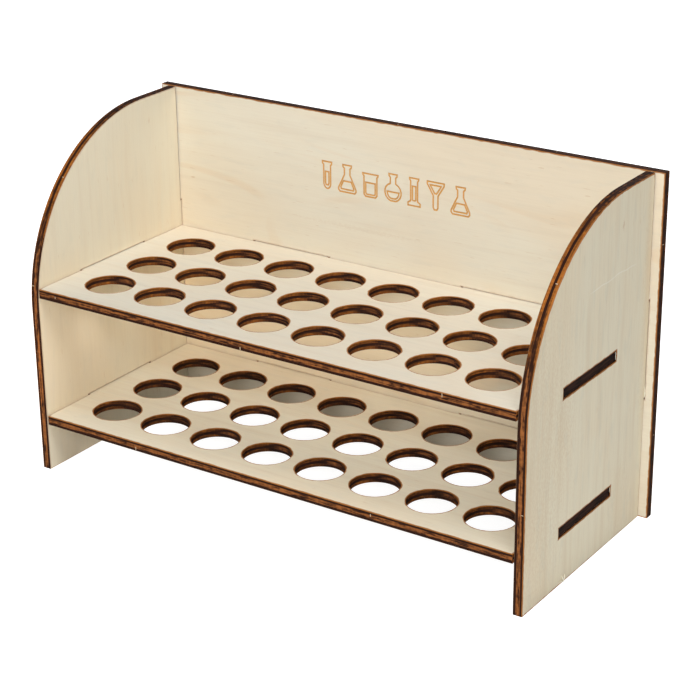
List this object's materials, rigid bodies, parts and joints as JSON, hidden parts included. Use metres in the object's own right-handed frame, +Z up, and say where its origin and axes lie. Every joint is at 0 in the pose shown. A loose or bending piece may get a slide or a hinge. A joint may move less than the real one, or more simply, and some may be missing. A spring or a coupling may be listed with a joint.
{
  "type": "test tube rack",
  "caption": "Plywood test-tube rack: round-cornered sides, a tall back panel and stacked shelves with matching grids of round holes, joined by tabs in slots.",
  "frame": {"origin": "on the table, at the middle of the rack's footprint", "axes": "+Z up, +X to the right seen from the front, +Y from the open front to the back panel"},
  "size_m": [0.1816, 0.0752, 0.1098],
  "materials": {
    "plywood": "pale unfinished basswood plywood with dark scorched laser-cut edges"
  },
  "bodies": {
    "root": {"left_side": "plywood", "right_side": "plywood", "back_panel": "plywood", "lower_shelf": "plywood", "upper_shelf": "plywood"}
  },
  "joints": []
}
